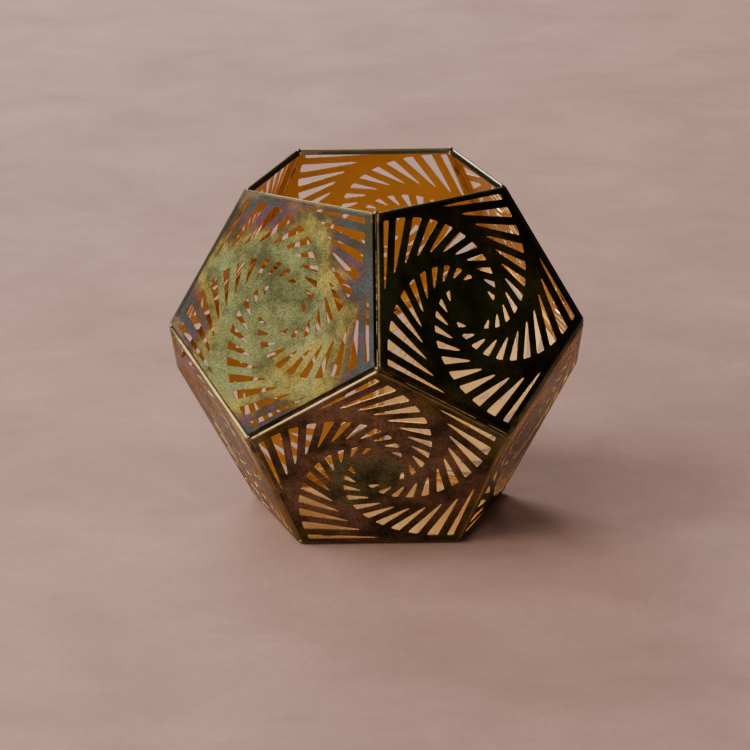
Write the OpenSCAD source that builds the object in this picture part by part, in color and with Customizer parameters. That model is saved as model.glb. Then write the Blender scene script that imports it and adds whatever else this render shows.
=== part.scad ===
// Pierced dodecahedron lantern, open at the top.
// Eleven folded sheet-metal pans, one for each face but the top one, stand back to back on
// their inward flanges and are held together by soldered seams and corners.
// The origin is the middle of the underside of the base, +Z is up and -Y is the front.

/* [Body] */
// Length of one edge of the dodecahedron, along the outer corners
edge = 90; // [70:1:120]
// Thickness of the sheet metal
sheet = 0.7; // [0.5:0.1:1]
// Outer radius of the fold along each edge
fold_r = 1.6; // [1.2:0.1:2]
// Depth of the folded flange, measured along it from the sharp corner
flange = 4.9; // [4.5:0.1:7]
// Gap between the flanges of two neighbouring pans
seam_gap = 0.3; // [0.1:0.05:0.6]

/* [Piercing] */
// Plain margin between the slits and the edge of a pan
margin = 5.2; // [4.2:0.1:8]
// How far the corners of the pattern's outermost pentagon stand in from the corners of a pan
pattern_inset = 4.1; // [3:0.1:8]
// Turn of the pattern's outermost pentagon
pattern_turn = 4.7; // [2:0.1:8]
// Radius in the middle of a pan inside which no slit starts
hub_r = 18; // [14:1:30]
// Step of the spiral from one bar to the next at the outermost bar
step_outer = 11.9; // [10:0.1:14]
// Step of the spiral from one bar to the next at the hub
step_inner = 7.8; // [7.4:0.1:10]
// Angle at which the spiral runs inwards
spiral_angle = 33; // [28:1:37]
// Width of the outermost bars between the slits
bar_outer = 4.8; // [4:0.1:5.4]
// Width of the bars between the slits at the hub
bar_inner = 4; // [3.4:0.1:4.6]
// Width of the spine that the wide ends of the slits stand on
spine = 0.8; // [0.6:0.1:3]
// Radius of the corners of a slit
slit_r = 0.8; // [0.5:0.1:0.9]

/* [Solder] */
// Length of a solder tack in a seam
tack_len = 9; // [4:0.5:14]
// Distance from the corner of a pan to the near end of a tack
tack_in = 12; // [8:0.5:16]
// Radius of the solder bead along a tack, on the inner edges of the flanges
tack_r = 1; // [0.6:0.1:1.4]
// How much larger the radius of the solder bead at a corner is than the radius of the folds
bead_extra = 0.4; // [0.3:0.1:0.7]

/* [Hidden] */

SIDES = 5;
TURN = 360 / SIDES;
HALF_TURN = TURN / 2;
// Half of the angle between two neighbouring faces, which is the angle of every fold
FOLD = atan((1 + sqrt(5)) / 2);
// Angle between the normals of two neighbouring faces
TILT = 180 - 2 * FOLD;
LOWER_TILT = 180 - TILT;
// Azimuths of the first panel of each ring
LOWER_START = 0;
UPPER_START = HALF_TURN;

circumradius = edge / (2 * sin(HALF_TURN));
apothem = circumradius * cos(HALF_TURN);
face_distance = apothem * tan(FOLD);
height = 2 * face_distance;
// Radius and height of the wider rings of corners
golden = (1 + sqrt(5)) / 2;
wide_r = circumradius * golden;
wide_z = circumradius;

// Fold, in the section square to an edge: x runs outwards from the middle of the face and
// y along the face's outward normal
down = [-cos(FOLD), -sin(FOLD)];
inward = [-sin(FOLD), cos(FOLD)];
corner = [apothem - seam_gap / 2 / sin(FOLD), 0];
tangent = fold_r / tan(FOLD / 2);
fold_centre = [corner.x - tangent, -fold_r];
bead_r = fold_r + bead_extra;
fold_steps = 6;
fold_turn = 180 - FOLD;
reach = 2 * circumradius;
trim = 2;

// Slits
corner_steps = 3;
tack_step = 30;
min_side = 0.05;
cut_depth = 3 * sheet;

bronze = [0.36, 0.31, 0.17];
dark_bronze = [0.2, 0.17, 0.11];
solder_grey = [0.75, 0.72, 0.62];

// ---- Sheet-metal pan ----

// Points of the fold on a radius r about its centre, from the face round to the flange
function fold_arc(r) = [
    for (i = [0:fold_steps])
        let (a = 90 - fold_turn * i / fold_steps)
        fold_centre + r * [cos(a), sin(a)]
];

// Section of everything under the outer skin of a pan
function outer_section() =
    let (end = corner + (flange + trim) * down)
    concat([[-reach, 0]], fold_arc(fold_r), [end, [-reach, end.y]]);

// Section of everything inside a pan, with the ends of the flanges cut square
function inner_section() =
    let (end = corner + flange * down)
    concat(
        [[-reach, -sheet]],
        fold_arc(fold_r - sheet),
        [end + sheet * inward, end - trim * inward],
        [[end.x - trim * inward.x, -reach], [-reach, -reach]]
    );

// Solid under one section on all five sides of a face
module five_sided(section) {
    intersection_for (k = [0:SIDES - 1])
        rotate([0, 0, HALF_TURN + 90 + k * TURN])
        rotate([90, 0, 0])
        linear_extrude(height = 2 * reach, center = true)
        polygon(section);
}

// Folded pan with its outer face in the plane z = 0 and one corner towards +Y
module pan() {
    difference() {
        five_sided(outer_section());
        five_sided(inner_section());
    }
}

// ---- Slit pattern ----

function unit(a) = [cos(a), sin(a)];

// Size at the radius r that runs evenly from one value at the hub to another at the outside
function spread(inner, outer, r) =
    inner + (outer - inner) * (r - hub_r) / (circumradius - pattern_inset - hub_r);

// Radius and turn of each pentagon of the pattern, from the outermost one to the hub
function pentagons(r, turn) =
    let (
        step = spread(step_inner, step_outer, r),
        next_r = r - step * sin(spiral_angle),
        next_turn = turn - step * cos(spiral_angle) * 360 / (PI * (r + next_r))
    )
    r < hub_r ? [[r, turn]] : concat([[r, turn]], pentagons(next_r, next_turn));

// Part of the polygon p where p * n <= d
function cut(p, n, d) = [
    for (i = [0:1:len(p) - 1])
        let (a = p[i], b = p[(i + 1) % len(p)], fa = a * n - d, fb = b * n - d)
        each concat(fa <= 0 ? [a] : [], fa * fb < 0 ? [a + (b - a) * fa / (fa - fb)] : [])
];

// Part of the polygon p inside every half plane [n, d] of a list
function cut_all(p, planes, i = 0) =
    i == len(planes) ? p : cut_all(cut(p, planes[i].x, planes[i].y), planes, i + 1);

// Polygon without the points that nearly coincide with the point after them
function tidy(p) = [
    for (i = [0:1:len(p) - 1])
        if (norm(p[(i + 1) % len(p)] - p[i]) > min_side) p[i]
];

// Half of the width of the bar along a pentagon of the radius r
function half_bar(r) = spread(bar_inner, bar_outer, r) / 2;

// Half planes that bound the slit between the pentagons outer and inner, at the corner near +Y
function slit_planes(outer, inner) = concat(
    [
        [
            unit(90 + HALF_TURN + outer[1]),
            outer[0] * cos(HALF_TURN) - half_bar(outer[0]) - slit_r
        ],
        [unit(90 - HALF_TURN + outer[1]), outer[0] * cos(HALF_TURN) - spine / 2 - slit_r],
        [
            -unit(90 + HALF_TURN + inner[1]),
            -inner[0] * cos(HALF_TURN) - half_bar(inner[0]) - slit_r
        ]
    ],
    [for (k = [0:SIDES - 1]) [unit(90 + HALF_TURN + k * TURN), apothem - margin - slit_r]]
);

// Outline at the distance r round a convex polygon, with arcs at its corners
function rounded(p, r) = [
    for (i = [0:1:len(p) - 1])
        let (
            before = p[i] - p[(i + len(p) - 1) % len(p)],
            after = p[(i + 1) % len(p)] - p[i],
            start = atan2(-before.x, before.y),
            sweep = (atan2(-after.x, after.y) - start + 720) % 360
        )
        for (j = [0:corner_steps]) p[i] + r * unit(start + sweep * j / corner_steps)
];

// All the slits of one pan
module slits() {
    rings = pentagons(circumradius - pattern_inset, pattern_turn);
    square_r = [for (a = [45:90:315]) 2 * reach * unit(a)];
    for (i = [0:len(rings) - 2]) {
        core = tidy(cut_all(square_r, slit_planes(rings[i], rings[i + 1])));
        if (len(core) > 2)
            for (k = [0:SIDES - 1])
                rotate([0, 0, k * TURN])
                polygon(rounded(core, slit_r));
    }
}

module pierced_pan() {
    difference() {
        pan();
        translate([0, 0, -2 * sheet])
            linear_extrude(height = cut_depth)
            slits();
    }
}

// ---- Places ----

// Puts the face plane of a panel, z = 0 with its corner towards +Y, on the dodecahedron
module on_face(tilt, azimuth) {
    translate([0, 0, face_distance])
        rotate([0, 0, azimuth])
        rotate([tilt, 0, 0])
        translate([0, 0, face_distance])
        children();
}

module on_base() {
    on_face(180, 0) rotate([0, 0, HALF_TURN]) children();
}

module on_lower(i) {
    on_face(LOWER_TILT, LOWER_START + i * TURN) children();
}

module on_upper(i) {
    on_face(TILT, UPPER_START + i * TURN) rotate([0, 0, HALF_TURN]) children();
}

// ---- Solder ----

// Point in the section of a seam: depth along the flanges and distance across the gap
function seam_point(depth, across) = [apothem, 0] + depth * down + across * inward;

// Two tacks in the seam on the side of a face whose outward normal is at the angle a
module seam_tacks(a) {
    setback = seam_gap / 2 / tan(FOLD);
    wick_top = tangent + setback;
    flange_end = flange + setback;
    section = concat(
        [seam_point(wick_top, seam_gap / 2), seam_point(flange_end, seam_gap / 2)],
        [
            for (b = [0:tack_step:180])
                seam_point(flange_end + tack_r * sin(b), tack_r * cos(b))
        ],
        [seam_point(flange_end, -seam_gap / 2), seam_point(wick_top, -seam_gap / 2)]
    );
    rotate([0, 0, a])
        for (side = [-1, 1])
            translate([0, side * (edge / 2 - tack_in - tack_len / 2), 0])
            rotate([90, 0, 0])
            linear_extrude(height = tack_len, center = true)
            polygon(section);
}

// Filled shape of a pan, which the solder at a corner runs up against
module pan_fill() {
    five_sided(outer_section());
}

// Bead at each corner of a ring, at the given azimuth, radius and height. The children are
// the filled pans that meet at the first corner, and shape the bead.
module corner_beads(azimuth, r, z) {
    centre = [0, -r, z - face_distance] * (1 - bead_r / face_distance);
    color(solder_grey)
        for (k = [0:SIDES - 1])
            rotate([0, 0, k * TURN])
            difference() {
                rotate([0, 0, azimuth])
                    translate(centre + [0, 0, face_distance])
                    rotate([90, 0, 90])
                    sphere(r = bead_r, $fn = 48);
                children();
            }
}

// ---- Sub-parts ----

module base_panel() {
    color(dark_bronze) on_base() pan();
}

module lower_panel(i) {
    color(bronze) on_lower(i) pierced_pan();
}

module upper_panel(i) {
    color(bronze) on_upper(i) pierced_pan();
}

// Seams between the base and the lower panels
module base_seam_solder() {
    color(solder_grey)
        for (i = [0:SIDES - 1])
            on_lower(i) seam_tacks(270);
}

// Seams between neighbouring lower panels
module lower_seam_solder() {
    color(solder_grey)
        for (i = [0:SIDES - 1])
            on_lower(i) seam_tacks(270 + TURN);
}

// Seams between the lower and the upper panels
module middle_seam_solder() {
    color(solder_grey)
        for (i = [0:SIDES - 1], side = [-1, 1])
            on_lower(i) seam_tacks(90 + side * HALF_TURN);
}

// Seams between neighbouring upper panels
module upper_seam_solder() {
    color(solder_grey)
        for (i = [0:SIDES - 1])
            on_upper(i) seam_tacks(90 + HALF_TURN);
}

module base_corner_solder() {
    corner_beads(HALF_TURN, circumradius, 0) {
        on_base() pan_fill();
        on_lower(0) pan_fill();
        on_lower(1) pan_fill();
    }
}

module lower_corner_solder() {
    corner_beads(HALF_TURN, wide_r, wide_z) {
        on_lower(0) pan_fill();
        on_lower(1) pan_fill();
        on_upper(0) pan_fill();
    }
}

module upper_corner_solder() {
    corner_beads(0, wide_r, height - wide_z) {
        on_lower(0) pan_fill();
        on_upper(0) pan_fill();
        on_upper(SIDES - 1) pan_fill();
    }
}

module rim_corner_solder() {
    corner_beads(0, circumradius, height) {
        on_upper(0) pan_fill();
        on_upper(SIDES - 1) pan_fill();
    }
}

base_panel();
lower_panel(0);  // lower_panel_1
lower_panel(1);  // lower_panel_2
lower_panel(2);  // lower_panel_3
lower_panel(3);  // lower_panel_4
lower_panel(4);  // lower_panel_5
upper_panel(0);  // upper_panel_1
upper_panel(1);  // upper_panel_2
upper_panel(2);  // upper_panel_3
upper_panel(3);  // upper_panel_4
upper_panel(4);  // upper_panel_5
base_seam_solder();
lower_seam_solder();
middle_seam_solder();
upper_seam_solder();
base_corner_solder();
lower_corner_solder();
upper_corner_solder();
rim_corner_solder();
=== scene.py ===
"""Pierced dodecahedron lantern: folded sheet-metal pans with a heat patina, soldered together."""

import math

import bmesh
import bpy
from bpy.props import EnumProperty, FloatProperty, FloatVectorProperty, PointerProperty
from mathutils import Matrix, Vector, noise


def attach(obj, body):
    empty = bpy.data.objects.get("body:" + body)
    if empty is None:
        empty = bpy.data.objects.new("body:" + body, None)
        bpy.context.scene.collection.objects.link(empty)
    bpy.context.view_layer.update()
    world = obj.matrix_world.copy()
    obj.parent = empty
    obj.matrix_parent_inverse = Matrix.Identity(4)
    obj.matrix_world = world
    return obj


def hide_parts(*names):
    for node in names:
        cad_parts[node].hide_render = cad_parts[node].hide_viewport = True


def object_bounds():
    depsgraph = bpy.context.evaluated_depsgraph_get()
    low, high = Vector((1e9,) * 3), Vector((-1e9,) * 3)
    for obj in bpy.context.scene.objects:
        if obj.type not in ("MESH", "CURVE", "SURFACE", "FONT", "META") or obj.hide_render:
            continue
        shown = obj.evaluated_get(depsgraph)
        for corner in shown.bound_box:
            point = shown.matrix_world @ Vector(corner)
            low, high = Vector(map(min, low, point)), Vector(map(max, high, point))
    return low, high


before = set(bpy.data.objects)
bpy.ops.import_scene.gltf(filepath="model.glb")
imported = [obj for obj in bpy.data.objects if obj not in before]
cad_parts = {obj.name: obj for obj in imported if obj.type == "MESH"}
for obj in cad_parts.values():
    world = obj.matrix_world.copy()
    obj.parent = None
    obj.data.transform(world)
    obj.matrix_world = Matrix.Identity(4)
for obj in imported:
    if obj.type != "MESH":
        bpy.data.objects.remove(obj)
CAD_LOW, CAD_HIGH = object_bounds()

bl_info = {
    "name": "Pierced Dodecahedron Lantern",
    "version": (1, 0, 0),
    "blender": (4, 5, 0),
    "location": "3D View > Sidebar > Lantern",
    "description": "Builds a soldered sheet-metal lantern with spiral slits and its studio stage",
    "category": "Object",
}

SIDES = 5
TURN = math.tau / SIDES
GOLDEN = (1 + math.sqrt(5)) / 2
# Angle between a panel and its flanges, half of the angle between two panels
FOLD = math.atan(GOLDEN)
# Angle between the axis of the lantern and that of an upper panel
TILT = math.pi - 2 * FOLD
# Height of a dodecahedron over the length of its edge
HEIGHT_PER_EDGE = GOLDEN / math.tan(TURN / 2)
RINGS = {"lower": math.pi - TILT, "upper": TILT}

MM = 0.001
SAME_PLACE = 1e-7
# Shortest side of a slit's outline, and how near a corner lies to a line that bounds it
SHORTEST_SIDE = 0.05 * MM
NEAR_LINE = 0.06 * MM
SLIT_CORNER_STEPS = 4
RIM_CUTS = 15
LONGEST_PLATE_EDGE = 7 * MM
FOLD_STEPS = 12
# Row of the fold, counted from the plate, below which the corners are notched
NOTCH_ROW = 5
DEBURR_WIDTH = 0.08 * MM
DEBURR_ANGLE = math.radians(55)
FLOOR_RADIUS = 12
WORLD_COLOUR = (1, 0.84, 0.77, 1)
WORLD_STRENGTH = 0.09


# ---- Sizes and finishes ----


class LanternSizes(bpy.types.PropertyGroup):
    """Sizes of the folded pans and of the slits in them"""

    edge: FloatProperty(
        name="Edge", description="Length of one edge of the dodecahedron",
        default=(CAD_HIGH - CAD_LOW).z / HEIGHT_PER_EDGE, unit="LENGTH")
    sheet: FloatProperty(
        name="Sheet", description="Thickness of the sheet metal", default=0.7 * MM, unit="LENGTH")
    fold_radius: FloatProperty(
        name="Fold Radius", description="Outer radius of the folds", default=1.6 * MM,
        unit="LENGTH")
    flange: FloatProperty(
        name="Flange", description="Depth of the flanges from the sharp corner",
        default=4.9 * MM, unit="LENGTH")
    seam_gap: FloatProperty(
        name="Seam Gap", description="Gap between neighbouring flanges", default=0.3 * MM,
        unit="LENGTH")
    notch: FloatProperty(
        name="Corner Notch", description="Half width of the notch between two flanges",
        default=0.5 * MM, unit="LENGTH")
    margin: FloatProperty(
        name="Margin", description="Plain margin round the slits", default=5.2 * MM,
        unit="LENGTH")
    pattern_inset: FloatProperty(
        name="Pattern Inset", description="Inset of the pattern's outermost corners",
        default=4.1 * MM, unit="LENGTH")
    pattern_turn: FloatProperty(
        name="Pattern Turn", description="Turn of the pattern's outermost pentagon",
        default=math.radians(4.7), subtype="ANGLE")
    hub_radius: FloatProperty(
        name="Hub Radius", description="Radius inside which no slit starts",
        default=18 * MM, unit="LENGTH")
    step_outer: FloatProperty(
        name="Outer Step", description="Spiral step at the outermost bar",
        default=11.9 * MM, unit="LENGTH")
    step_inner: FloatProperty(
        name="Inner Step", description="Spiral step at the hub", default=7.8 * MM,
        unit="LENGTH")
    spiral_angle: FloatProperty(
        name="Spiral Angle", description="Angle at which the spiral runs inwards",
        default=math.radians(33), subtype="ANGLE")
    bar_outer: FloatProperty(
        name="Outer Bar", description="Width of the outermost bars between the slits",
        default=4.8 * MM, unit="LENGTH")
    bar_inner: FloatProperty(
        name="Inner Bar", description="Width of the bars between the slits at the hub",
        default=4 * MM, unit="LENGTH")
    spine: FloatProperty(
        name="Spine", description="Width of the spine at the wide ends of the slits",
        default=0.8 * MM, unit="LENGTH")
    slit_radius: FloatProperty(
        name="Slit Corner Radius", description="Radius of the corners of a slit",
        default=0.8 * MM, unit="LENGTH")
    buckle: FloatProperty(
        name="Buckle", description="Depth of the shallow dents in the hand-made sheet",
        default=0.35 * MM, unit="LENGTH")
    bead_radius: FloatProperty(
        name="Bead Radius", description="Radius of the solder bead at a corner",
        default=2 * MM, unit="LENGTH")
    tack_length: FloatProperty(
        name="Tack Length", description="Length of a solder tack in a seam",
        default=9 * MM, unit="LENGTH")
    tack_inset: FloatProperty(
        name="Tack Inset", description="Distance from a corner to the near end of a tack",
        default=12 * MM, unit="LENGTH")
    tack_radius: FloatProperty(
        name="Tack Radius", description="Radius of the solder along a tack",
        default=1 * MM, unit="LENGTH")


class LanternFinish(bpy.types.PropertyGroup):
    """Colours of the patina, the bare metal and the solder"""

    heat_centre: FloatVectorProperty(
        name="Heat Centre", description="Place on a panel where the heat tints start",
        default=(0.37, 0.54), subtype="XYZ", size=2)
    torch: FloatVectorProperty(
        name="Torch Mark", description="Place of an extra heat mark on the body",
        default=(-0.094, -0.052, 0.136), subtype="XYZ", unit="LENGTH", size=3)
    olive: FloatVectorProperty(
        name="Olive", description="Patina in the middle of a panel",
        default=(0.125, 0.13, 0.05), subtype="COLOR", size=3)
    straw: FloatVectorProperty(
        name="Straw", description="Lightest heat tint", default=(0.19, 0.145, 0.034),
        subtype="COLOR", size=3)
    brown: FloatVectorProperty(
        name="Brown", description="Heat tint between straw and purple",
        default=(0.1, 0.055, 0.026), subtype="COLOR", size=3)
    purple: FloatVectorProperty(
        name="Purple", description="Strongest heat tint", default=(0.066, 0.03, 0.043),
        subtype="COLOR", size=3)
    steel: FloatVectorProperty(
        name="Steel Blue", description="Heat tint along the soldered seams",
        default=(0.037, 0.04, 0.041), subtype="COLOR", size=3)
    maroon: FloatVectorProperty(
        name="Maroon", description="Patina of the lower panels", default=(0.33, 0.22, 0.14),
        subtype="COLOR", size=3)
    moss: FloatVectorProperty(
        name="Moss", description="Patina in the middle of the lower panels",
        default=(0.22, 0.235, 0.115), subtype="COLOR", size=3)
    soot: FloatVectorProperty(
        name="Soot", description="Dark stains and specks", default=(0.03, 0.027, 0.014),
        subtype="COLOR", size=3)
    # Fold tone of the lower panels: rubbed bare metal, brightened further as a painted highlight
    # along the folds.
    fold_wear_and_light: FloatVectorProperty(
        name="Fold Wear and Light", description="Metal rubbed bare along the folds",
        default=(0.5, 0.36, 0.15), subtype="COLOR", size=3)
    weld: FloatVectorProperty(
        name="Weld Patch", description="Rough smears of heat and solder near the corners",
        default=(0.12, 0.085, 0.05), subtype="COLOR", size=3)
    gold: FloatVectorProperty(
        name="Gold", description="Lacquered brass inside", default=(0.86, 0.55, 0.22),
        subtype="COLOR", size=3)
    cut: FloatVectorProperty(
        name="Cut Edge", description="Bright cut edges of the slits",
        default=(0.95, 0.72, 0.36), subtype="COLOR", size=3)
    solder: FloatVectorProperty(
        name="Solder", description="Solder beads", default=(0.30, 0.25, 0.18),
        subtype="COLOR", size=3)
    floor: FloatVectorProperty(
        name="Floor", description="Plain pale floor", default=(0.425, 0.25, 0.2),
        subtype="COLOR", size=3)


class LanternStage(bpy.types.PropertyGroup):
    """Camera placement and lens"""

    elevation: FloatProperty(
        name="Elevation", description="Camera elevation above the horizon",
        default=math.radians(17.8), subtype="ANGLE")
    roll: FloatProperty(
        name="Roll", description="Camera roll", default=math.radians(-0.67), subtype="ANGLE")
    distance: FloatProperty(
        name="Distance", description="Camera distance from the lantern's middle",
        default=2.474, unit="LENGTH")
    rise: FloatProperty(
        name="Rise", description="Height of the lantern's middle over the line of sight",
        default=0.01847, unit="LENGTH")
    aside: FloatProperty(
        name="Aside", description="Sideways place of the lantern's middle",
        default=0.00107, unit="LENGTH")
    lens: FloatProperty(
        name="Lens", description="Focal length in millimetres", default=207.3, unit="CAMERA")


def settings():
    """Sizes, finish and stage of the scene."""
    scene = bpy.context.scene
    return scene.lantern_sizes, scene.lantern_finish, scene.lantern_stage


# ---- Dodecahedron ----


def circumradius(sizes):
    """Distance from the middle of a face to its corners."""
    return sizes.edge / (2 * math.sin(TURN / 2))


def apothem(sizes):
    """Distance from the middle of a face to its sides."""
    return circumradius(sizes) * math.cos(TURN / 2)


def face_distance(sizes):
    """Distance from the middle of the dodecahedron to its faces."""
    return apothem(sizes) * GOLDEN


def face_matrix(sizes, tilt, azimuth, corner_up):
    """Places a face that lies in z = 0 with one corner towards +Y on the dodecahedron."""
    out = Matrix.Translation((0, 0, face_distance(sizes)))
    turn = Matrix.Rotation(0 if corner_up else TURN / 2, 4, "Z")
    return (out @ Matrix.Rotation(azimuth, 4, "Z") @ Matrix.Rotation(tilt, 4, "X")
            @ out @ turn)


def panel_matrix(sizes, ring, index):
    """Matrix of panel number index, from 1, of the lower or the upper ring."""
    azimuth = (index - 1) * TURN + (TURN / 2 if ring == "upper" else 0)
    return face_matrix(sizes, RINGS[ring], azimuth, ring == "lower")


def unit(angle):
    """Flat direction at an angle from +X."""
    return Vector((math.cos(angle), math.sin(angle), 0))


# ---- Slits ----


def spread(sizes, inner, outer, radius):
    """Size that runs evenly from one value at the hub to another at the outside."""
    span = circumradius(sizes) - sizes.pattern_inset - sizes.hub_radius
    return inner + (outer - inner) * (radius - sizes.hub_radius) / span


def pentagons(sizes):
    """Radius and turn of each nested pentagon that the slits lie between."""
    radius = circumradius(sizes) - sizes.pattern_inset
    turn = sizes.pattern_turn
    nested = [(radius, turn)]
    while radius >= sizes.hub_radius:
        step = spread(sizes, sizes.step_inner, sizes.step_outer, radius)
        inner = radius - step * math.sin(sizes.spiral_angle)
        turn -= 2 * step * math.cos(sizes.spiral_angle) / (radius + inner)
        radius = inner
        nested.append((radius, turn))
    return nested


def slit_planes(sizes, outer, inner):
    """Outward direction and distance of each line that bounds the slit nearest to +Y."""
    quarter, half = math.pi / 2, TURN / 2
    reach = outer[0] * math.cos(half)
    bars = [spread(sizes, sizes.bar_inner, sizes.bar_outer, r) for r, _ in (outer, inner)]
    planes = [
        (unit(quarter + half + outer[1]), reach - bars[0] / 2),
        (unit(quarter - half + outer[1]), reach - sizes.spine / 2),
        (-unit(quarter + half + inner[1]), -inner[0] * math.cos(half) - bars[1] / 2),
    ]
    rim = apothem(sizes) - sizes.margin
    planes += [(unit(quarter + half + k * TURN), rim) for k in range(SIDES)]
    return planes


def everything(bm):
    """All geometry of a mesh, as the mesh operators take it."""
    return bm.verts[:] + bm.edges[:] + bm.faces[:]


def trimmed(sizes, planes, inset):
    """Square trimmed by the lines of a slit, each moved inwards by the inset."""
    bm = bmesh.new()
    bmesh.ops.create_grid(bm, x_segments=1, y_segments=1, size=2 * circumradius(sizes))
    for direction, distance in planes:
        bmesh.ops.bisect_plane(
            bm, geom=everything(bm), dist=SAME_PLACE, plane_co=direction * (distance - inset),
            plane_no=direction, clear_outer=True)
    bmesh.ops.remove_doubles(bm, verts=bm.verts[:], dist=SHORTEST_SIDE)
    return bm


def slit_mesh(sizes, outer, inner):
    """Outline of one slit with rounded corners, or None where no such slit fits."""
    planes = slit_planes(sizes, outer, inner)
    radius = sizes.slit_radius
    core = trimmed(sizes, planes, radius)
    kept = [
        (direction, distance) for direction, distance in planes
        if any(all(abs(v.co.dot(direction) - distance + radius) < NEAR_LINE for v in edge.verts)
               for edge in core.edges)]
    core.free()
    if not kept:
        return None
    bm = trimmed(sizes, kept, 0)
    for vert in bm.verts[:]:
        ends = [edge.other_vert(vert).co - vert.co for edge in vert.link_edges]
        trim = radius / math.tan(ends[0].angle(ends[1]) / 2)
        bmesh.ops.bevel(
            bm, geom=[vert], offset=trim, offset_type="OFFSET", segments=SLIT_CORNER_STEPS,
            profile=0.5, affect="VERTICES", material=-1, clamp_overlap=True)
    mesh = bpy.data.meshes.new("slit")
    bm.to_mesh(mesh)
    bm.free()
    return mesh


def add_slits(bm, sizes):
    """Adds the outlines of all slits of a panel as loose edges."""
    nested = pentagons(sizes)
    for outer, inner in zip(nested, nested[1:]):
        mesh = slit_mesh(sizes, outer, inner)
        if mesh:
            bm.from_mesh(mesh)
            bpy.data.meshes.remove(mesh)
    bmesh.ops.spin(
        bm, geom=everything(bm), cent=(0, 0, 0), axis=(0, 0, 1), dvec=(0, 0, 0),
        angle=math.tau - TURN, steps=SIDES - 1, use_duplicate=True)
    bmesh.ops.delete(bm, geom=bm.faces[:], context="FACES_ONLY")


# ---- Folded pan ----


def side_reach(co):
    """Distance of a point from the panel's axis, square to the side it is nearest to."""
    return max(co.dot(unit(math.pi / 2 + TURN / 2 + k * TURN)) for k in range(SIDES))


def refine(bm, longest):
    """Splits long edges until the plate is fine enough to buckle smoothly."""
    for _ in range(3):
        long_edges = [e for e in bm.edges if e.calc_length() > longest]
        if not long_edges:
            break
        bmesh.ops.subdivide_edges(bm, edges=long_edges, cuts=1)
        bmesh.ops.triangulate(bm, faces=[f for f in bm.faces if len(f.verts) > 3])


def fold_profile(sizes):
    """Reach and height of each row of the fold, from the plate to the end of the flange."""
    corner = apothem(sizes) - sizes.seam_gap / 2 / math.sin(FOLD)
    start = corner - sizes.fold_radius / math.tan(FOLD / 2)
    rows = []
    for i in range(FOLD_STEPS + 1):
        angle = math.pi / 2 - (math.pi - FOLD) * i / FOLD_STEPS
        rows.append((start + sizes.fold_radius * math.cos(angle),
                     sizes.fold_radius * (math.sin(angle) - 1)))
    rows.append((corner - sizes.flange * math.cos(FOLD), -sizes.flange * math.sin(FOLD)))
    return rows


def plate(bm, sizes, reach, pierced):
    """Flat face of a pan out to the start of its folds."""
    if pierced:
        add_slits(bm, sizes)
    rim = bmesh.ops.create_circle(
        bm, cap_ends=False, segments=SIDES, radius=reach / math.cos(TURN / 2))
    rim_edges = {e for v in rim["verts"] for e in v.link_edges}
    bmesh.ops.subdivide_edges(bm, edges=list(rim_edges), cuts=RIM_CUTS)
    bmesh.ops.triangle_fill(bm, use_beauty=True, edges=bm.edges[:], normal=(0, 0, 1))


def fold_flanges(bm, sizes, rows):
    """Turns the rim of the plate down round the fold and along the flange."""
    start = rows[0][0] - 1e-6
    rim = [e for e in bm.edges
           if e.is_boundary and all(side_reach(v.co) > start for v in e.verts)]
    for (reach, height), (next_reach, next_height) in zip(rows, rows[1:]):
        made = bmesh.ops.extrude_edge_only(bm, edges=rim)["geom"]
        verts = [g for g in made if isinstance(g, bmesh.types.BMVert)]
        rim = [g for g in made if isinstance(g, bmesh.types.BMEdge)]
        share = next_reach / reach
        bmesh.ops.scale(bm, verts=verts, vec=(share, share, 1))
        bmesh.ops.translate(bm, verts=verts, vec=(0, 0, next_height - height))


def notch_corners(bm, sizes, top):
    """Opens a narrow notch between the flanges at each corner, below the height top."""
    near = 3 * sizes.flange
    for k in range(SIDES):
        along = unit(math.pi / 2 + k * TURN)
        across = unit(k * TURN)
        corner = along * circumradius(sizes)
        for side in (-1, 1):
            faces = [f for f in bm.faces
                     if f.calc_center_median().z < 0
                     and (f.calc_center_median() - corner).length < near]
            geom = {g for f in faces for g in (*f.verts, *f.edges)}
            bmesh.ops.bisect_plane(
                bm, geom=faces + list(geom), dist=SAME_PLACE,
                plane_co=across * side * sizes.notch, plane_no=across)
        gone = [f for f in bm.faces
                if f.calc_center_median().z < top
                and abs(f.calc_center_median().dot(across)) < sizes.notch
                and f.calc_center_median().dot(along) > 0]
        bmesh.ops.delete(bm, geom=gone, context="FACES")


def buckle(bm, sizes, seed):
    """Gives the plate the shallow inward dents of hand-cut sheet."""
    limit = apothem(sizes)
    for vert in bm.verts:
        if vert.co.z < -SAME_PLACE:
            continue
        inset = (limit - side_reach(vert.co)) / limit
        fade = min(1, max(0, (inset - 0.045) / 0.2))
        place = Vector((vert.co.x, vert.co.y, 0)) / (0.5 * limit) + Vector((0, 0, seed))
        wave = 0.5 + 0.5 * noise.noise(place) + 0.2 * noise.noise(place * 2.7)
        vert.co.z -= sizes.buckle * fade * max(0, wave)


def add_panel_maps(bm, sizes):
    """One map with the panel's flat coordinates, one with its nearness to sides and corners."""
    flat = bm.loops.layers.uv.new("panel")
    rim = bm.loops.layers.uv.new("rim")
    span = 2 * circumradius(sizes)
    for face in bm.faces:
        for loop in face.loops:
            co = loop.vert.co
            loop[flat].uv = (co.x / span + 0.5, co.y / span + 0.5)
            loop[rim].uv = (side_reach(co) / apothem(sizes), 2 * co.xy.length / span)


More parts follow.
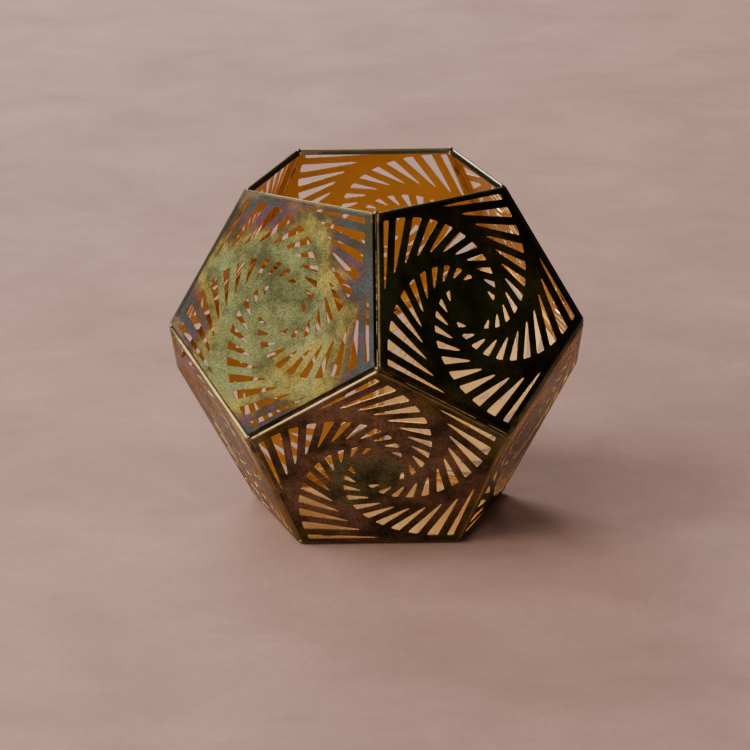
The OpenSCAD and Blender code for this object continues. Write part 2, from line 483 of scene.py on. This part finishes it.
def make_pan(name, sizes, matrix, seed, pierced=True):
    """Folded pan: plate, flanges, thickness and soft edges."""
    rows = fold_profile(sizes)
    bm = bmesh.new()
    plate(bm, sizes, rows[0][0], pierced)
    refine(bm, LONGEST_PLATE_EDGE)
    bmesh.ops.recalc_face_normals(bm, faces=bm.faces[:])
    if bm.faces[0].normal.z < 0:
        bmesh.ops.reverse_faces(bm, faces=bm.faces[:])
    fold_flanges(bm, sizes, rows)
    notch_corners(bm, sizes, rows[NOTCH_ROW][1])
    buckle(bm, sizes, seed)
    add_panel_maps(bm, sizes)
    for face in bm.faces:
        face.smooth = True
    bmesh.ops.remove_doubles(bm, verts=bm.verts[:], dist=SAME_PLACE)
    bmesh.ops.recalc_face_normals(bm, faces=bm.faces[:])
    top = max(bm.faces, key=lambda f: f.calc_area())
    if top.normal.z < 0:
        bmesh.ops.reverse_faces(bm, faces=bm.faces[:])
    bmesh.ops.transform(bm, matrix=matrix, verts=bm.verts[:])
    pan = add_object(name, bm)
    wall = pan.modifiers.new("sheet", "SOLIDIFY")
    wall.thickness = sizes.sheet
    wall.offset = -1
    wall.use_even_offset = True
    wall.material_offset = 1
    wall.material_offset_rim = 2
    soften = pan.modifiers.new("deburr", "BEVEL")
    soften.width = DEBURR_WIDTH
    soften.segments = 1
    soften.limit_method = "ANGLE"
    soften.angle_limit = DEBURR_ANGLE
    soften.harden_normals = True
    return pan


def add_object(name, bm):
    """Turns a finished bmesh into an object of the scene."""
    mesh = bpy.data.meshes.new(name)
    bm.to_mesh(mesh)
    bm.free()
    obj = bpy.data.objects.new(name, mesh)
    bpy.context.collection.objects.link(obj)
    return obj


def dress(obj, materials):
    """Fills the material slots of a piece."""
    for material in materials:
        obj.data.materials.append(material)


def settle(obj, node):
    """Ties a finished piece to the frame."""
    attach(obj, "root")
    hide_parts(node)


# ---- Materials ----


class Nodes:
    """Small helper that adds and links shader nodes of one material."""

    def __init__(self, name):
        self.material = bpy.data.materials.new(name)
        self.material.use_nodes = True
        self.tree = self.material.node_tree
        self.tree.nodes.clear()
        self.shader = self.add("ShaderNodeBsdfPrincipled")
        out = self.add("ShaderNodeOutputMaterial")
        self.link(self.shader.outputs[0], out.inputs[0])

    def add(self, kind, **values):
        node = self.tree.nodes.new(kind)
        for key, value in values.items():
            setattr(node, key, value)
        return node

    def link(self, source, target):
        self.tree.links.new(source, target)

    def place(self):
        return self.add("ShaderNodeTexCoord").outputs["Object"]

    def noise(self, vector, scale, detail=4, roughness=0.55, distortion=0):
        node = self.add("ShaderNodeTexNoise")
        node.inputs["Scale"].default_value = scale
        node.inputs["Detail"].default_value = detail
        node.inputs["Roughness"].default_value = roughness
        node.inputs["Distortion"].default_value = distortion
        self.link(vector, node.inputs["Vector"])
        return node.outputs["Fac"]

    def math(self, operation, a, b):
        node = self.add("ShaderNodeMath", operation=operation)
        for socket, value in zip(node.inputs, (a, b)):
            if isinstance(value, (int, float)):
                socket.default_value = value
            else:
                self.link(value, socket)
        return node.outputs[0]

    def ramp(self, value, stops):
        node = self.add("ShaderNodeValToRGB")
        node.color_ramp.interpolation = "EASE"
        elements = node.color_ramp.elements
        while len(elements) < len(stops):
            elements.new(0.5)
        for element, (position, colour) in zip(elements, stops):
            element.position = position
            element.color = (*colour, 1)
        self.link(value, node.inputs["Fac"])
        return node.outputs["Color"]

    def span(self, value, low, high, out_low, out_high):
        """Maps the range from low to high to the range from out_low to out_high."""
        node = self.add("ShaderNodeMapRange", clamp=True)
        for socket, number in zip(node.inputs[1:5], (low, high, out_low, out_high)):
            socket.default_value = number
        self.link(value, node.inputs[0])
        return node.outputs[0]

    def mix(self, factor, a, b):
        """Mixes two colours, each a socket or three numbers."""
        node = self.add("ShaderNodeMix", data_type="RGBA")
        self.link(factor, node.inputs["Factor"])
        for socket, value in zip(node.inputs[6:8], (a, b)):
            if isinstance(value, bpy.types.NodeSocket):
                self.link(value, socket)
            else:
                socket.default_value = (*value, 1)
        return node.outputs[2]

    def bump(self, height, strength, distance):
        node = self.add("ShaderNodeBump")
        node.inputs["Strength"].default_value = strength
        node.inputs["Distance"].default_value = distance
        self.link(height, node.inputs["Height"])
        self.link(node.outputs["Normal"], self.shader.inputs["Normal"])


def patina(name, finish, centre, fold_wear_and_light_tone, tints):
    """Heat patina whose tints follow each other from a centre towards the seams, with painted
    highlight and painted shade along the folds and a painted highlight on the top rim.
    """
    n = Nodes(name)
    place = n.place()
    panel = n.add("ShaderNodeUVMap", uv_map="panel").outputs["UV"]
    rim = n.add("ShaderNodeSeparateXYZ")
    n.link(n.add("ShaderNodeUVMap", uv_map="rim").outputs["UV"], rim.inputs[0])
    side, corner = rim.outputs[0], rim.outputs[1]
    middle = n.add("ShaderNodeVectorMath", operation="DISTANCE")
    middle.inputs[1].default_value = (*centre, 0)
    n.link(panel, middle.inputs[0])
    clouds = n.noise(place, 21, 3, 0.5, 0.6)
    blots = n.noise(place, 70, 4, 0.6)
    grain = n.noise(place, 1100, 2, 0.75)
    heat = n.math("ADD", middle.outputs["Value"], n.span(clouds, 0.3, 0.7, -0.12, 0.12))
    heat = n.math("ADD", heat, n.span(blots, 0.3, 0.7, -0.03, 0.03))
    heat = n.math("ADD", heat, n.span(corner, 0.75, 1, 0, 0.1))
    torch = n.add("ShaderNodeVectorMath", operation="DISTANCE")
    torch.inputs[1].default_value = finish.torch
    n.link(place, torch.inputs[0])
    heat = n.math("ADD", heat, n.span(torch.outputs["Value"], 0.004, 0.026, 0.2, 0))
    tint = n.ramp(heat, tints)
    soot = n.span(n.noise(place, 46, 5, 0.65), 0.41, 0.61, 0, 0.8)
    tint = n.mix(soot, tint, finish.soot)
    speck = n.span(grain, 0.42, 0.62, 0, 0.62)
    tint = n.mix(speck, tint, (c * 0.35 for c in finish.soot))
    # Band along the folds: rubbed metal with a painted highlight on the lower panels, painted
    # shade on the upper ones; it also lowers the roughness there.
    fold_wear_and_light = n.math("MULTIPLY", n.span(side, 0.955, 0.97, 0, 1), n.span(blots, 0.3, 0.6, 0.2, 0.8))
    tint = n.mix(fold_wear_and_light, tint, fold_wear_and_light_tone)
    # Straw band along the top rim: a painted highlight where the rim fold catches the light, in
    # the straw heat tint.
    height = n.add("ShaderNodeSeparateXYZ")
    n.link(place, height.inputs[0])
    tint = n.mix(n.span(height.outputs[2], 0.1975, 0.1985, 0, 0.85), tint, finish.straw)
    patch = n.math("ADD", corner, n.span(blots, 0.3, 0.7, -0.1, 0.1))
    patch = n.math("ADD", patch, n.span(clouds, 0.35, 0.65, -0.06, 0.06))
    patch = n.span(patch, 0.95, 1, 0, 0.9)
    weld = n.ramp(grain, [(0.35, finish.soot), (0.5, finish.weld), (0.7, finish.brown)])
    tint = n.mix(patch, tint, weld)
    n.link(tint, n.shader.inputs["Base Color"])
    n.shader.inputs["Metallic"].default_value = 1
    rough = n.span(blots, 0.3, 0.7, 0.3, 0.44)
    rough = n.math("SUBTRACT", rough, n.math("MULTIPLY", fold_wear_and_light, 0.08))
    n.link(n.math("ADD", rough, n.math("MULTIPLY", patch, 0.12)), n.shader.inputs["Roughness"])
    dents = n.math("MULTIPLY", n.noise(place, 520, 3, 0.6), n.math("MULTIPLY", patch, 3))
    n.bump(n.math("ADD", grain, dents), 0.3, 0.0001)
    return n.material


def upper_patina(finish):
    """Olive patina with straw, purple and steel blue heat tints."""
    # The upper panels take the dark soot colour along their folds as painted shade.
    return patina("olive_patina", finish, finish.heat_centre, finish.soot, [
        (0.0, (c * 0.75 for c in finish.olive)), (0.26, finish.olive), (0.36, finish.straw),
        (0.41, finish.brown), (0.445, finish.purple), (0.5, finish.steel)])


def lower_patina(finish):
    """Maroon patina with a mossy middle."""
    # The lower panels take the rubbed-metal colour along their folds, brightened as a painted
    # highlight.
    return patina("maroon_patina", finish, (0.5, 0.5), finish.fold_wear_and_light, [
        (0.0, (c * 0.75 for c in finish.moss)), (0.12, finish.moss), (0.2, finish.maroon),
        (0.36, (c * 0.8 for c in finish.maroon)), (0.46, finish.straw), (0.56, finish.moss)])


def gold_material(finish):
    """Satin gold lacquer on the inside of the panels."""
    n = Nodes("satin_gold")
    place = n.place()
    clouds = n.noise(place, 24, 4, 0.6)
    grain = n.noise(place, 900, 3, 0.7)
    tone = n.mix(n.span(clouds, 0.35, 0.7, 0, 0.6), finish.gold, (c * 0.72 for c in finish.gold))
    n.link(tone, n.shader.inputs["Base Color"])
    n.shader.inputs["Metallic"].default_value = 1
    n.link(n.span(grain, 0.3, 0.7, 0.36, 0.5), n.shader.inputs["Roughness"])
    n.bump(grain, 0.2, 0.00006)
    return n.material


def cut_material(finish):
    """Bright cut edges."""
    n = Nodes("bright_cut_edge")
    place = n.place()
    grain = n.noise(place, 700, 3, 0.7)
    tone = n.mix(n.span(grain, 0.4, 0.7, 0, 0.7), finish.cut, finish.gold)
    n.link(tone, n.shader.inputs["Base Color"])
    n.shader.inputs["Metallic"].default_value = 1
    n.link(n.span(grain, 0.3, 0.7, 0.2, 0.4), n.shader.inputs["Roughness"])
    n.bump(grain, 0.3, 0.00006)
    return n.material


def solder_material(finish):
    """Dull solder with flux stains."""
    n = Nodes("soft_solder")
    place = n.place()
    stains = n.noise(place, 420, 4, 0.65)
    tone = n.mix(n.span(stains, 0.42, 0.62, 0, 1), finish.solder, finish.brown)
    n.link(tone, n.shader.inputs["Base Color"])
    n.shader.inputs["Metallic"].default_value = 1
    n.link(n.span(stains, 0.3, 0.7, 0.25, 0.55), n.shader.inputs["Roughness"])
    n.bump(stains, 0.5, 0.0002)
    return n.material


def floor_material(finish):
    """Pale matte canvas with faint washes of paint."""
    n = Nodes("pale_floor")
    place = n.place()
    washes = n.noise(place, 9, 7, 0.7, 0.4)
    weave = n.noise(place, 260, 3, 0.7)
    tone = n.mix(n.span(washes, 0.3, 0.7, 0, 1), (c * 1.18 for c in finish.floor),
                 (c * 0.82 for c in finish.floor))
    tone = n.mix(n.span(weave, 0.4, 0.7, 0, 0.3), tone, (c * 0.78 for c in finish.floor))
    n.link(tone, n.shader.inputs["Base Color"])
    n.shader.inputs["Roughness"].default_value = 0.9
    n.bump(weave, 0.15, 0.0005)
    return n.material


MATERIALS = {}


def material(maker):
    """Makes a material once, and hands the same one to every piece."""
    if maker not in MATERIALS:
        MATERIALS[maker] = maker(bpy.context.scene.lantern_finish)
    return MATERIALS[maker]


def sheet_materials(outside):
    """Slots in the order that the sheet's outside, inside and cut edges take them."""
    return [material(maker) for maker in (outside, gold_material, cut_material)]


# ---- Solder ----


def lump(bm, matrix, radii, seed):
    """One uneven drop of solder."""
    made = bmesh.ops.create_icosphere(bm, subdivisions=3, radius=1)["verts"]
    for vert in made:
        vert.co *= 1 + 0.16 * noise.noise(vert.co * 1.3 + Vector((seed, 0, 0)))
    bmesh.ops.scale(bm, verts=made, vec=radii)
    bmesh.ops.transform(bm, matrix=matrix, verts=made)


def finish_lumps(name, bm, node):
    """Turns the lumps of one group into a finished piece."""
    for face in bm.faces:
        face.smooth = True
    obj = add_object(name, bm)
    dress(obj, [material(solder_material)])
    settle(obj, node)


def corner_lumps(sizes, name, node, azimuth, reach, height):
    """Beads at the five corners of one ring."""
    centre = Vector((0, -reach, height - face_distance(sizes)))
    out = centre.normalized()
    centre *= 1 - sizes.bead_radius / face_distance(sizes)
    bm = bmesh.new()
    for k in range(SIDES):
        turn = Matrix.Rotation(azimuth + k * TURN, 4, "Z")
        place = (Matrix.Translation((0, 0, face_distance(sizes))) @ turn
                 @ Matrix.Translation(centre) @ out.to_track_quat("Z", "Y").to_matrix().to_4x4())
        size = sizes.bead_radius * (0.66 + 0.14 * noise.noise((k * 1.7, reach * 50, height * 50)))
        lump(bm, place, (size, size, size * 0.85), k * 3.1 + height * 90)
    finish_lumps(name, bm, node)


def seam_lumps(sizes, name, node, ring, angles):
    """Tacks along the inner edges of the flanges in the seams of one ring."""
    bm = bmesh.new()
    depth = sizes.flange + sizes.seam_gap / 2 / math.tan(FOLD)
    down = Vector((-math.cos(FOLD), 0, -math.sin(FOLD)))
    along = sizes.edge / 2 - sizes.tack_inset - sizes.tack_length / 2
    for k in range(1, SIDES + 1):
        for angle in angles:
            for side in (-1, 1):
                spot = Vector((apothem(sizes), side * along, 0)) + down * depth
                place = (panel_matrix(sizes, ring, k) @ Matrix.Rotation(angle, 4, "Z")
                         @ Matrix.Translation(spot) @ Matrix.Rotation(-FOLD, 4, "Y"))
                lump(bm, place, (sizes.tack_radius * 0.8, sizes.tack_length / 2,
                                 sizes.tack_radius * 0.9), k * 2.3 + angle + side)
    finish_lumps(name, bm, node)


# ---- Operators ----


class LANTERN_OT_base(bpy.types.Operator):
    """Builds the plain pan that the lantern stands on"""

    bl_idname = "lantern.base"
    bl_label = "Build Base"

    def execute(self, context):
        sizes = context.scene.lantern_sizes
        matrix = face_matrix(sizes, math.pi, 0, False)
        pan = make_pan("base_sheet", sizes, matrix, 40, pierced=False)
        dress(pan, sheet_materials(lower_patina))
        settle(pan, "base_panel")
        return {"FINISHED"}


class LANTERN_OT_panels(bpy.types.Operator):
    """Builds one ring of five pierced pans"""

    bl_idname = "lantern.panels"
    bl_label = "Build Panels"

    ring: EnumProperty(
        name="Ring", description="Which ring of panels to build",
        items=[("lower", "Lower", "Panels that lean outwards"),
               ("upper", "Upper", "Panels that lean inwards")])

    def execute(self, context):
        sizes = context.scene.lantern_sizes
        outside = upper_patina if self.ring == "upper" else lower_patina
        for index in range(1, SIDES + 1):
            matrix = panel_matrix(sizes, self.ring, index)
            seed = index * 3.7 + (20 if self.ring == "upper" else 0)
            pan = make_pan(f"{self.ring}_sheet_{index}", sizes, matrix, seed)
            dress(pan, sheet_materials(outside))
            settle(pan, f"{self.ring}_panel_{index}")
        return {"FINISHED"}


class LANTERN_OT_corner_solder(bpy.types.Operator):
    """Builds the solder beads at the corners"""

    bl_idname = "lantern.corner_solder"
    bl_label = "Build Corner Solder"

    def execute(self, context):
        sizes = context.scene.lantern_sizes
        near, wide, half = circumradius(sizes), circumradius(sizes) * GOLDEN, TURN / 2
        height = 2 * face_distance(sizes)
        rings = {
            "base": (half, near, 0), "lower": (half, wide, near),
            "upper": (0, wide, height - near), "rim": (0, near, height)}
        for ring, place in rings.items():
            corner_lumps(sizes, f"{ring}_corner_beads", f"{ring}_corner_solder", *place)
        return {"FINISHED"}


class LANTERN_OT_seam_solder(bpy.types.Operator):
    """Builds the solder tacks inside the seams"""

    bl_idname = "lantern.seam_solder"
    bl_label = "Build Seam Solder"

    def execute(self, context):
        sizes = context.scene.lantern_sizes
        quarter, half = math.pi / 2, TURN / 2
        seams = {
            "base": ("lower", [-quarter]), "lower": ("lower", [TURN - quarter]),
            "middle": ("lower", [quarter - half, quarter + half]),
            "upper": ("upper", [quarter + half])}
        for name, (ring, angles) in seams.items():
            seam_lumps(sizes, f"{name}_seam_beads", f"{name}_seam_solder", ring, angles)
        return {"FINISHED"}


def softbox(name, place, target, size, power, colour):
    """Square area light at a place, turned to a target."""
    light = bpy.data.lights.new(name, "AREA")
    light.size = size
    light.energy = power
    light.color = colour
    lamp = bpy.data.objects.new(name, light)
    lamp.location = place
    lamp.rotation_euler = (Vector(target) - Vector(place)).to_track_quat("-Z", "Y").to_euler()
    bpy.context.collection.objects.link(lamp)


class LANTERN_OT_stage(bpy.types.Operator):
    """Builds the floor, the soft light and the camera"""

    bl_idname = "lantern.stage"
    bl_label = "Build Stage"

    def execute(self, context):
        sizes, finish, stage = settings()
        bm = bmesh.new()
        bmesh.ops.create_circle(bm, cap_ends=True, segments=96, radius=FLOOR_RADIUS)
        floor = add_object("floor", bm)
        dress(floor, [material(floor_material)])
        world = bpy.data.worlds.new("studio")
        world.use_nodes = True
        back = world.node_tree.nodes["Background"]
        back.inputs["Color"].default_value = WORLD_COLOUR
        back.inputs["Strength"].default_value = WORLD_STRENGTH
        context.scene.world = world
        middle = (0, 0, face_distance(sizes))
        softbox("key_softbox", (-1.85, -0.7, 0.95), middle, 3.1, 100, (1, 0.95, 0.9))
        softbox("front_softbox", (-0.7, -1.0, 2.4), middle, 3.0, 34, (1, 0.96, 0.93))
        softbox("back_softbox", (-0.9, 3, 1.8), (-0.6, 2.6, 0), 1.6, 104, (1, 0.98, 0.98))
        self.add_camera(context, sizes, stage)
        return {"FINISHED"}

    def add_camera(self, context, sizes, stage):
        """Sets the camera from its angle, distance and offset from the line of sight."""
        data = bpy.data.cameras.new("camera")
        data.lens = stage.lens
        data.clip_end = 100
        camera = bpy.data.objects.new("camera", data)
        turn = (Matrix.Rotation(math.pi / 2 - stage.elevation, 4, "X")
                @ Matrix.Rotation(stage.roll, 4, "Z"))
        back = Matrix.Translation((-stage.aside, -stage.rise, stage.distance))
        camera.matrix_world = Matrix.Translation((0, 0, face_distance(sizes))) @ turn @ back
        context.collection.objects.link(camera)
        context.scene.camera = camera


class LANTERN_PT_panel(bpy.types.Panel):
    """Buttons and sizes of the lantern"""

    bl_idname = "LANTERN_PT_panel"
    bl_label = "Lantern"
    bl_space_type = "VIEW_3D"
    bl_region_type = "UI"
    bl_category = "Lantern"

    def draw(self, context):
        for group in settings():
            for name in group.bl_rna.properties.keys():
                if name not in ("rna_type", "name"):
                    self.layout.prop(group, name)
        for operator in OPERATORS:
            self.layout.operator(operator.bl_idname)


GROUPS = (
    (LanternSizes, "lantern_sizes"), (LanternFinish, "lantern_finish"),
    (LanternStage, "lantern_stage"))
OPERATORS = (
    LANTERN_OT_base, LANTERN_OT_panels, LANTERN_OT_corner_solder, LANTERN_OT_seam_solder,
    LANTERN_OT_stage)


def register():
    for group, name in GROUPS:
        bpy.utils.register_class(group)
        setattr(bpy.types.Scene, name, PointerProperty(type=group))
    for cls in (*OPERATORS, LANTERN_PT_panel):
        bpy.utils.register_class(cls)


def unregister():
    for cls in (LANTERN_PT_panel, *reversed(OPERATORS)):
        bpy.utils.unregister_class(cls)
    for group, name in reversed(GROUPS):
        delattr(bpy.types.Scene, name)
        bpy.utils.unregister_class(group)


def main():
    register()
    bpy.ops.lantern.base()
    bpy.ops.lantern.panels(ring="lower")
    bpy.ops.lantern.panels(ring="upper")
    bpy.ops.lantern.corner_solder()
    bpy.ops.lantern.seam_solder()
    bpy.ops.lantern.stage()


if __name__ == "__main__":
    main()
